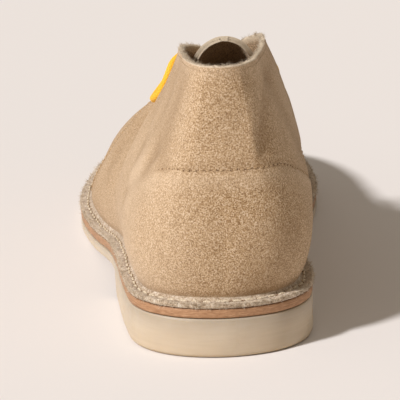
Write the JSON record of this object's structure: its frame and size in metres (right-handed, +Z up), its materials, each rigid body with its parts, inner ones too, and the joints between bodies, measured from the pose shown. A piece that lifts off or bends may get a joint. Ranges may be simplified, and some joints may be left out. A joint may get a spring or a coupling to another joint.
{
  "type": "chukka boot",
  "caption": "Left chukka boot of pale suede: one hollow ankle-high upper with an open collar and throat, tongue, insole, leather midsole, crepe sole with heel, and a tied round lace.",
  "frame": {"origin": "middle of the boot's footprint, on the surface it stands on", "axes": "+Z up, +Y towards the toe, +X towards the inner (medial) side of the left foot"},
  "size_m": [0.1078, 0.296, 0.1091],
  "materials": {
    "crepe": "milky, satin",
    "sole_leather": "cut edge, waxed",
    "suede": "napped suede",
    "lining": "matt flesh side",
    "lace": "round cotton braid"
  },
  "bodies": {
    "root": {"outsole": "crepe", "midsole": "sole_leather", "insole": "lining", "upper": "suede", "tongue": "suede", "lace_bar_upper": "lace", "lace_bar_lower": "lace", "lace_knot": "lace", "lace_loop_lateral": "lace", "lace_loop_medial": "lace", "lace_end_lateral": "lace", "lace_end_medial": "lace"}
  },
  "joints": []
}
